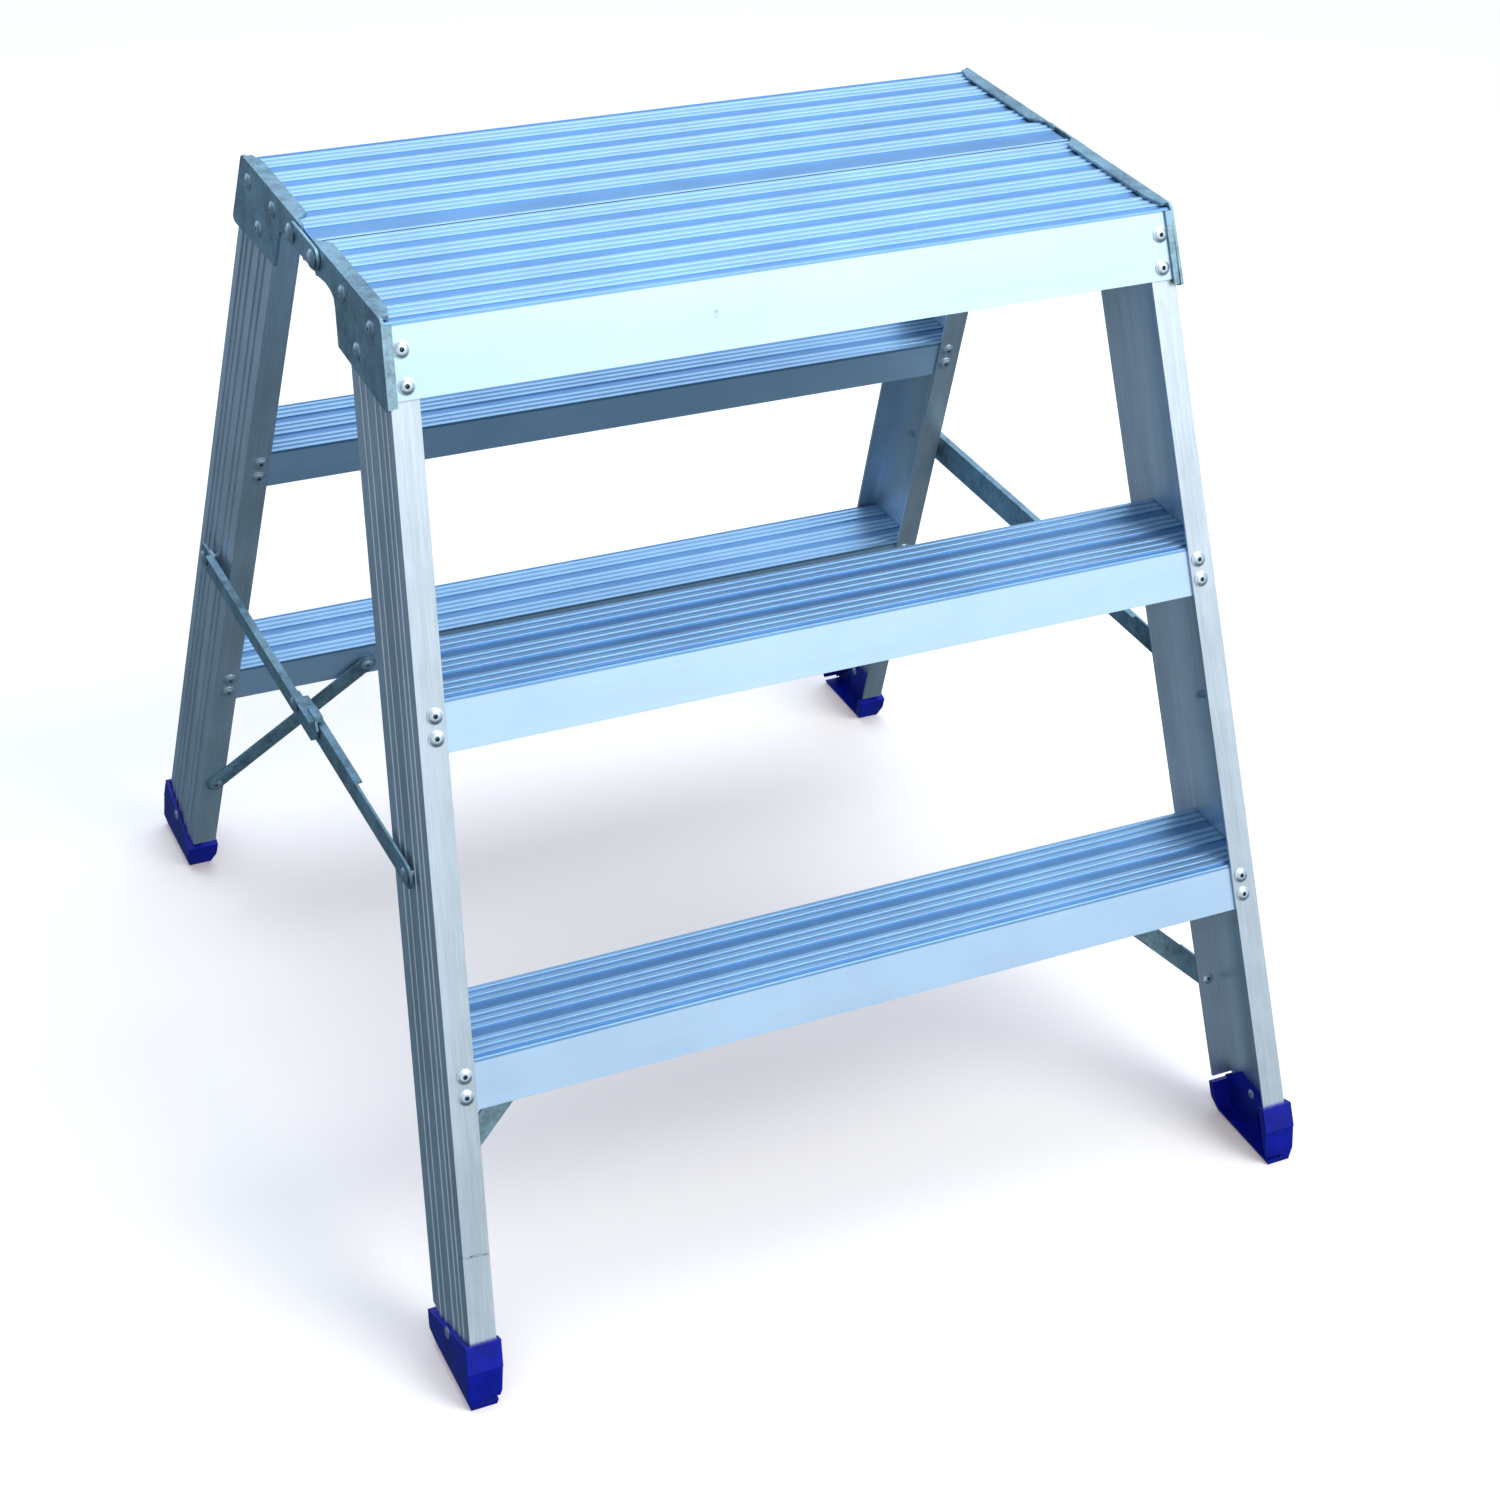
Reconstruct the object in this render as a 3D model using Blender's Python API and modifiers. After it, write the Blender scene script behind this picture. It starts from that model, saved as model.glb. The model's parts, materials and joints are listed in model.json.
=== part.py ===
"""Double-sided folding step ladder: two splayed aluminium frames hinged together under a split platform."""

import math

import bmesh
import bpy
from mathutils import Matrix, Vector

MM = 0.001

# Overall sizes
HEIGHT = 727 * MM
WEB_HALF_X = 296.2 * MM
FLANGE_HALF_Y = 152.6 * MM
SPLAY = 0.075
TILT = 0.363
CLEARANCE = 0.3 * MM

# Stiles: C-channels, open towards the middle of the ladder
WEB_WIDTH = 83.6 * MM
FLANGE_WIDTH = 20 * MM
STILE_WALL = 2.2 * MM
STILE_TOP = 6.6 * MM
STILE_END = 29.8 * MM
STILE_RIB_HEIGHT = 1 * MM
STILE_RIB_WIDTH = 3.2 * MM
STILE_RIBS = (0.15, 0.27, 0.42, 0.64, 0.79)

# Ribbed tops of the platform planks and the treads
RIB_DEPTH = 1.3 * MM
RIB_STEP = 0.7 * MM
TOP_WALL = 2.2 * MM
SKIRT_WALL = 2.2 * MM
PLANK_TOP = 2.4 * MM
PLANK_GROUPS = 5
PLANK_INNER = 13.4 * MM
PLANK_PERIOD = 29.5 * MM
PLANK_GROUP_WIDTH = 18.2 * MM
PLANK_SKIRT = 51 * MM
PLANK_INNER_SKIRT = 26 * MM
LIP_END = -11 * MM
LIP_RIB = 2.9 * MM
TREAD_LEVELS = {"middle": 240 * MM, "lower": 479.5 * MM}
TREAD_SKIRT = 35.5 * MM
TREAD_GROUPS = 3
TREAD_GROOVE = 4.6 * MM
TREAD_GROUP_WIDTH = 17.8 * MM

# Gusset brackets and the two-pin hinge
PLATE = 2.3 * MM
GUSSET_DEPTH = 57 * MM
GUSSET_INNER_DEPTH = 53 * MM
GUSSET_CHAMFER = 2.5 * MM
GUSSET_INNER = 73.5 * MM
GUSSET_STRIP = 19.5 * MM
GUSSET_RETURN = 6 * MM
RETURN_WALL = 2 * MM
GUSSET_FLANGE = 10 * MM
GUSSET_FLANGE_WALL = 2.1 * MM
FLANGE_START = {"front": 13.4 * MM, "rear": 24 * MM}
PIN_Y = 24.5 * MM
PIN_DEPTH = 9.5 * MM
PIN_RADIUS = 3 * MM
PIN_HEAD = 7.2 * MM
HEAD_HEIGHT = 3 * MM
LOBE_RADIUS = 12 * MM
LINK_RADIUS = 8 * MM
LINK_GAP = 0.6 * MM
LINK_WALL = 2 * MM

# Spreaders
ARM_IN = 40.4 * MM
ARM_DEPTH = 370 * MM
ARM_WALL = 2 * MM
REAR_ARM_HEIGHT = 24 * MM
FRONT_ARM_HEIGHT = 19 * MM
ARM_LEDGE = 4 * MM
FRONT_LEDGE_START = 112 * MM
ARM_OVERLAP = 50 * MM
FRONT_ARM_OFFSET = 2.2 * MM
ARM_GAP = 0.6 * MM
PIVOT_RADIUS = 3 * MM
PIVOT_HEAD = 6.5 * MM

# Knee braces
BRACE_WIDTH = 16 * MM
BRACE_WALL = 2.5 * MM
BRACE_LOW = (331 * MM, 617 * MM)
BRACE_HIGH = (200 * MM, 500 * MM)
BRACE_TAB = 7 * MM
BRACE_TAB_LENGTH = 30 * MM

# Feet
FOOT_WALL = 3 * MM
FOOT_RIM = 674 * MM
FOOT_STEP = 33 * MM
FOOT_TOE = 7 * MM
FOOT_HEEL = 82.5 * MM
FOOT_FLOOR = 29.5 * MM
FOOT_HEEL_RISE = 14 * MM
FOOT_SOLE = 3.5 * MM
FOOT_PLUG = 6 * MM
FOOT_HEEL_WALL = 1.2 * MM
FOOT_SHELF = 5 * MM
FOOT_BEVEL = 3.5 * MM
FOOT_BEVEL_RISE = 11 * MM

SIDES = {"left": -1, "right": 1}
FRAMES = {"front": -1, "rear": 1}

FINISHES = {
    "aluminium": ((0.63, 0.74, 0.82, 1), 0.9, 0.38),
    "zinc": ((0.33, 0.42, 0.46, 1), 0.9, 0.45),
    "rivet": ((0.62, 0.66, 0.7, 1), 1.0, 0.3),
    "blue_plastic": ((0.01, 0.02, 0.36, 1), 0.0, 0.4),
}


def clear_scene():
    for obj in list(bpy.data.objects):
        bpy.data.objects.remove(obj, do_unlink=True)


def new_collection(name, hidden=False):
    made = bpy.data.collections.new(name)
    bpy.context.scene.collection.children.link(made)
    made.hide_render = hidden
    return made


def finish_material(node_name, finish):
    colour, metallic, roughness = FINISHES[finish]
    made = bpy.data.materials.new(node_name + "_" + finish)
    made.use_nodes = True
    shader = made.node_tree.nodes["Principled BSDF"]
    shader.inputs["Base Color"].default_value = colour
    shader.inputs["Metallic"].default_value = metallic
    shader.inputs["Roughness"].default_value = roughness
    return made


def outline_mesh(name, outline, low, high):
    """A mesh of a flat outline, filled, from low to high along its own Z."""
    curve = bpy.data.curves.new(name, "CURVE")
    curve.dimensions = "2D"
    curve.fill_mode = "BOTH"
    curve.extrude = (high - low) / 2
    spline = curve.splines.new("POLY")
    spline.points.add(len(outline) - 1)
    for point, (a, b) in zip(spline.points, outline):
        point.co = (a, b, 0, 1)
    spline.use_cyclic_u = True
    holder = bpy.data.objects.new(name + "_outline", curve)
    bpy.context.scene.collection.objects.link(holder)
    graph = bpy.context.evaluated_depsgraph_get()
    mesh = bpy.data.meshes.new_from_object(holder.evaluated_get(graph))
    bpy.data.objects.remove(holder, do_unlink=True)
    bpy.data.curves.remove(curve)
    mesh.transform(Matrix.Translation((0, 0, (high + low) / 2)))
    weld(mesh)
    return mesh


def weld(mesh):
    work = bmesh.new()
    work.from_mesh(mesh)
    bmesh.ops.remove_doubles(work, verts=work.verts, dist=1e-6)
    bmesh.ops.recalc_face_normals(work, faces=work.faces)
    work.to_mesh(mesh)
    work.free()


def add_object(name, mesh, collection, finish=None):
    made = bpy.data.objects.new(name, mesh)
    collection.objects.link(made)
    mesh.materials.clear()
    if finish:
        mesh.materials.append(finish_material(name, finish))
    return made


def add_boolean(target, tool, operation, cutters):
    """Adds an exact Boolean; the tool moves to the cutters' collection."""
    for holder in list(tool.users_collection):
        holder.objects.unlink(tool)
    cutters.objects.link(tool)
    tool.display_type = "WIRE"
    tool.hide_render = True
    modifier = target.modifiers.new(tool.name, "BOOLEAN")
    modifier.operation = operation
    modifier.solver = "EXACT"
    modifier.object = tool


def frame_matrix(side, frame, axes):
    """Maps three local axes, each one of x, w, q, u or d, to world space.

    w runs inwards from a stile's web, q inwards from its outer flange, u outwards
    from the middle plane, x along the world axis and d downwards from the top.
    Lengths along d follow the splayed and tilted stile unless u or x is used.
    """
    uses_u = "u" in axes
    uses_x = "x" in axes
    columns = {
        "w": Vector((-side, 0, 0)),
        "x": Vector((side, 0, 0)),
        "q": Vector((0, -frame, 0)),
        "u": Vector((0, frame, 0)),
        "d": Vector((0 if uses_x else side * SPLAY, 0 if uses_u else frame * TILT, -1)),
    }
    start_x = 0 if uses_x else side * WEB_HALF_X
    start_y = 0 if uses_u else frame * FLANGE_HALF_Y
    made = Matrix.Translation((start_x, start_y, HEIGHT)).to_4x4()
    for index, axis in enumerate(axes):
        made.col[index] = columns[axis].to_4d()
        made.col[index][3] = 0
    return made


def solid(name, outline, low, high, matrix, collection, finish=None):
    """An extruded outline placed by the matrix."""
    mesh = outline_mesh(name, outline, low, high)
    mesh.transform(matrix)
    weld(mesh)
    return add_object(name, mesh, collection, finish)


def box_outline(a0, b0, a1, b1):
    return [(a0, b0), (a1, b0), (a1, b1), (a0, b1)]


def arc(centre, radius, start, end, steps=8):
    """Points of an arc, with angles in degrees."""
    points = []
    for step in range(steps + 1):
        angle = math.radians(start + (end - start) * step / steps)
        points.append((centre[0] + radius * math.cos(angle), centre[1] + radius * math.sin(angle)))
    return points


def stadium(a0, a1, b, radius, steps=8):
    return arc((a0, b), radius, 90, 270, steps) + arc((a1, b), radius, -90, 90, steps)


def rib_group(start, width, top):
    """Three ribs with two shallow grooves, starting and ending at the valley's level."""
    valley = top + RIB_DEPTH
    groove = top + RIB_STEP
    rib = width / 5
    points = []
    for index in range(3):
        left = start + 2 * index * rib
        points += [(left, groove if index else valley), (left, top), (left + rib, top)]
        points.append((left + rib, groove if index < 2 else valley))
    return points


def stile_outline():
    points = [(0, 0)]
    for share in STILE_RIBS:
        middle = share * WEB_WIDTH
        low = middle - STILE_RIB_WIDTH / 2
        high = middle + STILE_RIB_WIDTH / 2
        points += [(0, low), (-STILE_RIB_HEIGHT, low + STILE_RIB_HEIGHT / 2)]
        points += [(-STILE_RIB_HEIGHT, high - STILE_RIB_HEIGHT / 2), (0, high)]
    points += [(0, WEB_WIDTH), (FLANGE_WIDTH, WEB_WIDTH)]
    points += [(FLANGE_WIDTH, WEB_WIDTH - STILE_WALL), (STILE_WALL, WEB_WIDTH - STILE_WALL)]
    points += [(STILE_WALL, STILE_WALL), (FLANGE_WIDTH, STILE_WALL), (FLANGE_WIDTH, 0)]
    return points


def splay_ends(mesh):
    """Leans both ends outwards with depth, so that they follow the webs."""
    for vertex in mesh.vertices:
        lean = SPLAY * (HEIGHT - vertex.co.z)
        vertex.co.x += math.copysign(lean, vertex.co.x)


def section_along_x(name, outline, half_length, frame, collection):
    """A (u, d) section run from end to end along X."""
    mesh = outline_mesh(name, outline, -half_length, half_length)
    mesh.transform(Matrix.Translation((0, 0, HEIGHT)) @ Matrix(
        ((0, 0, 1, 0), (frame, 0, 0, 0), (0, -1, 0, 0), (0, 0, 0, 1))
    ))
    splay_ends(mesh)
    weld(mesh)
    return add_object(name, mesh, collection, "aluminium")


def outer_face(depth):
    return FLANGE_HALF_Y + TILT * depth


def plank_outline(has_lip):
    valley = PLANK_TOP + RIB_DEPTH
    under = valley + TOP_WALL
    skirt_out = CLEARANCE + SKIRT_WALL
    points = []
    if has_lip:
        points += [(LIP_END, under), (LIP_END, PLANK_TOP), (LIP_END + LIP_RIB, PLANK_TOP)]
        points.append((LIP_END + LIP_RIB, valley))
    for index in range(PLANK_GROUPS):
        points += rib_group(PLANK_INNER + index * PLANK_PERIOD, PLANK_GROUP_WIDTH, PLANK_TOP)
    if not has_lip:
        points[0] = (PLANK_INNER, PLANK_INNER_SKIRT)
    edge = PLANK_TOP + RIB_STEP
    points += [(outer_face(valley) + CLEARANCE, valley), (outer_face(edge) + CLEARANCE, edge)]
    points.append((outer_face(edge) + skirt_out - RIB_STEP, edge))
    points.append((outer_face(valley) + skirt_out, valley))
    points.append((outer_face(PLANK_SKIRT) + skirt_out, PLANK_SKIRT))
    points.append((outer_face(PLANK_SKIRT) + CLEARANCE, PLANK_SKIRT))
    points.append((outer_face(under) + CLEARANCE, under))
    points.append((PLANK_INNER + SKIRT_WALL, under))
    points.append((PLANK_INNER + SKIRT_WALL, PLANK_INNER_SKIRT))
    if has_lip:
        points += [(PLANK_INNER, PLANK_INNER_SKIRT), (PLANK_INNER, under)]
    return points


def tread_outline(depth):
    """A tread's section, from its outer skirt to its inner one."""
    gap = STILE_WALL + CLEARANCE
    valley = depth + RIB_DEPTH
    under = valley + TOP_WALL
    bottom = depth + TREAD_SKIRT

    def at(q, level):
        return (outer_face(level) - q, level)

    outer = outer_face(depth) - gap
    width = WEB_WIDTH - 2 * gap
    valley_width = (width - TREAD_GROOVE - TREAD_GROUPS * TREAD_GROUP_WIDTH) / (TREAD_GROUPS - 1)
    points = []
    for index in range(TREAD_GROUPS):
        start = outer - width + index * (TREAD_GROUP_WIDTH + valley_width)
        points += rib_group(start, TREAD_GROUP_WIDTH, depth)
    points[0] = at(WEB_WIDTH - gap, bottom)
    edge = depth + RIB_STEP
    points += [at(gap + SKIRT_WALL, valley), at(gap + SKIRT_WALL, edge), at(gap + RIB_STEP, edge)]
    points += [at(gap, valley), at(gap, bottom), at(gap + SKIRT_WALL, bottom)]
    points += [at(gap + SKIRT_WALL, under), at(WEB_WIDTH - gap - SKIRT_WALL, under)]
    points.append(at(WEB_WIDTH - gap - SKIRT_WALL, bottom))
    return points


def gusset_outline():
    """The side plate in u and d: a strip with a hinge lobe, and the deep corner over the stile."""
    outer = CLEARANCE + SKIRT_WALL + CLEARANCE + RETURN_WALL
    points = [(PLANK_INNER, 0)]
    points += arc((PIN_Y, PIN_DEPTH), LOBE_RADIUS, 205, 80, 10)
    points += [(43 * MM, GUSSET_STRIP), (54 * MM, GUSSET_STRIP + 1 * MM), (61.5 * MM, 23 * MM)]
    points += [(65 * MM, 29 * MM), (GUSSET_INNER, GUSSET_INNER_DEPTH)]
    points += [(outer_face(GUSSET_DEPTH) + outer - 5 * MM, GUSSET_DEPTH)]
    points += [(outer_face(GUSSET_DEPTH) + outer, GUSSET_DEPTH - 3 * MM)]
    points += [(outer_face(GUSSET_CHAMFER) + outer, GUSSET_CHAMFER)]
    points += [(outer_face(0) + outer - GUSSET_CHAMFER, 0)]
    return points


def build_gusset(side_name, frame_name, shown, cutters):
    side = SIDES[side_name]
    frame = FRAMES[frame_name]
    name = "gusset_" + frame_name + "_" + side_name
    inner = STILE_RIB_HEIGHT + CLEARANCE
    plate = solid(
        name, gusset_outline(), -inner - PLATE, -inner,
        frame_matrix(side, frame, "udw"), shown, "zinc",
    )
    x_out = WEB_HALF_X + inner + PLATE / 2
    x_in = x_out - GUSSET_FLANGE
    start = FLANGE_START[frame_name]
    end = outer_face(0)
    ledge = [(x_out, start), (x_in, start + 11 * MM), (x_in, end - 15 * MM), (x_in + 4 * MM, end), (x_out, end)]
    flange = solid(
        name + "_ledge", ledge, 0, GUSSET_FLANGE_WALL, frame_matrix(side, frame, "xud"), shown
    )
    add_boolean(plate, flange, "UNION", cutters)
    face = -(CLEARANCE + SKIRT_WALL + CLEARANCE)
    strip = box_outline(face - RETURN_WALL, 4 * MM, face, GUSSET_DEPTH - 3 * MM)
    lip = solid(
        name + "_return", strip, -inner - PLATE / 2, -inner - PLATE / 2 + GUSSET_RETURN,
        frame_matrix(side, frame, "qdw"), shown,
    )
    add_boolean(plate, lip, "UNION", cutters)
    add_boolean(plate, bore(name + "_bore", side, frame * PIN_Y, PIN_DEPTH, PIN_RADIUS, shown), "DIFFERENCE", cutters)
    return plate


def bore(name, side, y, depth, radius, collection, reach=(200 * MM, 380 * MM)):
    """A long round cutter along X."""
    outline = arc((y, HEIGHT - depth), radius + CLEARANCE, 0, 337.5, 15)
    mesh = outline_mesh(name, outline, reach[0], reach[1])
    mesh.transform(Matrix(((0, 0, side, 0), (1, 0, 0, 0), (0, 1, 0, 0), (0, 0, 0, 1))))
    weld(mesh)
    return add_object(name, mesh, collection)


def headed_pin(name, side, y, depth, profile, collection, finish="rivet"):
    """A turned pin along X, its profile given as (outward x, radius) pairs from end to end."""
    mesh = bpy.data.meshes.new(name)
    points = [(x, radius, 0) for x, radius in profile]
    edges = [(index, index + 1) for index in range(len(points) - 1)]
    mesh.from_pydata(points, edges, [])
    pin = add_object(name, mesh, collection, finish)
    screw = pin.modifiers.new("turn", "SCREW")
    screw.axis = "X"
    screw.steps = 16
    screw.render_steps = 16
    screw.use_merge_vertices = True
    screw.merge_threshold = 1e-5
    screw.use_normal_calculate = True
    graph = bpy.context.evaluated_depsgraph_get()
    turned = bpy.data.meshes.new_from_object(pin.evaluated_get(graph))
    pin.modifiers.clear()
    if side < 0:
        turned.transform(Matrix.Diagonal((-1, 1, 1, 1)))
    turned.transform(Matrix.Translation((0, y, HEIGHT - depth)))
    weld(turned)
    for polygon in turned.polygons:
        polygon.use_smooth = True
    pin.data = turned
    turned.name = name
    return pin


def dome(base, radius, height, shank):
    """The rising part of a pin's profile: shank, flat underside, then a domed head."""
    return [
        (base, shank), (base, radius * 0.94), (base + height * 0.25, radius),
        (base + height * 0.7, radius * 0.75), (base + height, radius * 0.35), (base + height, 0),
    ]


def link_face(depth):
    return WEB_HALF_X + STILE_RIB_HEIGHT + CLEARANCE + PLATE + LINK_GAP + SPLAY * depth


def build_hinge(side_name, shown, cutters):
    side = SIDES[side_name]
    inner = STILE_RIB_HEIGHT + CLEARANCE + PLATE + LINK_GAP
    link = solid(
        "hinge_link_" + side_name, stadium(-PIN_Y, PIN_Y, PIN_DEPTH, LINK_RADIUS, 10),
        -inner - LINK_WALL, -inner, frame_matrix(side, 1, "udw"), shown, "zinc",
    )
    for frame_name, frame in FRAMES.items():
        y = frame * PIN_Y
        hole = bore("link_bore_" + frame_name + "_" + side_name, side, y, PIN_DEPTH, PIN_RADIUS, shown)
        add_boolean(link, hole, "DIFFERENCE", cutters)
        seat = link_face(PIN_DEPTH) + LINK_WALL + CLEARANCE + SPLAY * PIN_HEAD
        profile = [(link_face(PIN_DEPTH) - 8 * MM, 0), (link_face(PIN_DEPTH) - 8 * MM, PIN_RADIUS)]
        profile += dome(seat, PIN_HEAD, HEAD_HEIGHT, PIN_RADIUS)
        headed_pin("hinge_pin_" + frame_name + "_" + side_name, side, y, PIN_DEPTH, profile, shown)


def arm_y():
    return outer_face(ARM_DEPTH) - ARM_IN


def front_arm_face():
    return WEB_HALF_X + STILE_RIB_HEIGHT + SPLAY * ARM_DEPTH + FRONT_ARM_OFFSET


def arm_matrix(side):
    """Maps (y, height above the pivots, outward x) to world space."""
    return Matrix(((0, 0, side, 0), (1, 0, 0, 0), (0, 1, 0, HEIGHT - ARM_DEPTH), (0, 0, 0, 1)))


def build_arms(side_name, shown, cutters):
    side = SIDES[side_name]
    matrix = arm_matrix(side)
    inner = front_arm_face()
    outer = inner + ARM_WALL + ARM_GAP
    half = FRONT_ARM_HEIGHT / 2
    front = solid(
        "spreader_front_" + side_name, stadium(-arm_y(), 0, 0, half, 8),
        inner, inner + ARM_WALL, matrix, shown, "zinc",
    )
    ledge = box_outline(-arm_y() + FRONT_LEDGE_START, half - ARM_WALL, -PIVOT_HEAD, half)
    ledge = solid(
        "front_ledge_" + side_name, ledge, inner - ARM_LEDGE, inner + ARM_WALL / 2, matrix, shown
    )
    add_boolean(front, ledge, "UNION", cutters)
    half = REAR_ARM_HEIGHT / 2
    outline = [(-ARM_OVERLAP, half), (-ARM_OVERLAP - 4 * MM, half - 6 * MM)]
    outline += [(-ARM_OVERLAP, -half + 9 * MM), (-ARM_OVERLAP + 14 * MM, -half)]
    outline += arc((arm_y(), 0), half, -90, 90, 10)
    rear = solid("spreader_rear_" + side_name, outline, outer, outer + ARM_WALL, matrix, shown, "zinc")
    ledge = box_outline(-ARM_OVERLAP + 2 * MM, half - ARM_WALL, arm_y() - 18 * MM, half)
    ledge = solid(
        "rear_ledge_" + side_name, ledge, outer + ARM_WALL / 2, outer + ARM_WALL + ARM_LEDGE, matrix, shown
    )
    add_boolean(rear, ledge, "UNION", cutters)
    tab = box_outline(-ARM_OVERLAP, half - 1 * MM, -ARM_OVERLAP + 18 * MM, half + 4 * MM)
    tab = solid(
        "stop_tab_" + side_name, tab, outer - ARM_GAP - 2 * ARM_WALL, outer + ARM_WALL, matrix, shown
    )
    add_boolean(rear, tab, "UNION", cutters)
    for arm in (front, rear):
        add_boolean(
            arm, bore(arm.name + "_mid_bore", side, 0, ARM_DEPTH, PIVOT_RADIUS, shown), "DIFFERENCE", cutters
        )
    add_boolean(
        front, bore(front.name + "_bore", side, -arm_y(), ARM_DEPTH, PIVOT_RADIUS, shown), "DIFFERENCE", cutters
    )
    add_boolean(
        rear, bore(rear.name + "_bore", side, arm_y(), ARM_DEPTH, PIVOT_RADIUS, shown), "DIFFERENCE", cutters
    )
    build_pivots(side_name, inner, outer, shown)


def build_pivots(side_name, inner, outer, shown):
    side = SIDES[side_name]
    web = WEB_HALF_X + SPLAY * ARM_DEPTH
    tail = [(web - 7 * MM, 0), (web - 7 * MM, PIVOT_RADIUS * 0.8), (web - 4.5 * MM, PIVOT_RADIUS)]
    seat = inner + ARM_WALL + CLEARANCE
    profile = tail + dome(seat, PIVOT_HEAD, HEAD_HEIGHT, PIVOT_RADIUS)
    headed_pin("pivot_front_" + side_name, side, -arm_y(), ARM_DEPTH, profile, shown)
    face = web + STILE_RIB_HEIGHT + CLEARANCE + SPLAY * PIVOT_HEAD
    washer = [(face, PIVOT_RADIUS), (face, PIVOT_HEAD), (outer - CLEARANCE, PIVOT_HEAD)]
    washer.append((outer - CLEARANCE, PIVOT_RADIUS))
    seat = outer + ARM_WALL + CLEARANCE
    profile = tail + washer + dome(seat, PIVOT_HEAD, HEAD_HEIGHT, PIVOT_RADIUS)
    headed_pin("pivot_rear_" + side_name, side, arm_y(), ARM_DEPTH, profile, shown)
    lap = 0.2 * MM
    profile = [(outer - lap, 0), (outer - lap, PIVOT_RADIUS)]
    profile += dome(seat, PIVOT_HEAD, HEAD_HEIGHT, PIVOT_RADIUS)
    headed_pin("pivot_mid_" + side_name, side, 0, ARM_DEPTH, profile, shown)
    back = inner - CLEARANCE
    end = inner + ARM_WALL + lap
    profile = [(back - 2 * MM, 0), (back - 2 * MM, PIVOT_RADIUS), (back - 1 * MM, PIVOT_HEAD * 0.8)]
    profile += [(back, PIVOT_HEAD * 0.8), (back, PIVOT_RADIUS), (end, PIVOT_RADIUS), (end, 0)]
    headed_pin("pivot_tail_" + side_name, side, 0, ARM_DEPTH, profile, shown)


def bar_outline(start, end, width, steps=6):
    """A round-ended bar between two points."""
    angle = math.degrees(math.atan2(end[1] - start[1], end[0] - start[0]))
    points = arc(start, width / 2, angle + 90, angle + 270, steps)
    return points + arc(end, width / 2, angle - 90, angle + 90, steps)


def build_brace(side_name, frame_name, shown, cutters):
    side = SIDES[side_name]
    frame = FRAMES[frame_name]
    name = "knee_brace_" + frame_name + "_" + side_name
    face = WEB_WIDTH + CLEARANCE
    matrix = frame_matrix(side, frame, "xdq")
    bar = solid(
        name, bar_outline(BRACE_HIGH, BRACE_LOW, BRACE_WIDTH), face, face + BRACE_WALL, matrix, shown, "zinc"
    )
    boss = solid(
        name + "_boss", arc(BRACE_HIGH, 6 * MM, 0, 337.5, 15),
        WEB_WIDTH - STILE_WALL, face + BRACE_WALL / 2, matrix, shown,
    )
    add_boolean(bar, boss, "UNION", cutters)
    run = (Vector(BRACE_HIGH) - Vector(BRACE_LOW)).normalized()
    up = Vector((run.y, -run.x))
    if up.y > 0:
        up = -up
    low = Vector(BRACE_LOW) + up * (BRACE_WIDTH / 2 - 2 * MM)
    corners = [low, low + run * BRACE_TAB_LENGTH]
    corners += [corners[1] + up * 2 * MM, low + up * 2 * MM]
    tab = solid(
        name + "_tab", [tuple(corner) for corner in corners],
        face + BRACE_WALL / 2, face + BRACE_WALL + BRACE_TAB, matrix, shown,
    )
    add_boolean(bar, tab, "UNION", cutters)
    return bar


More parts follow.
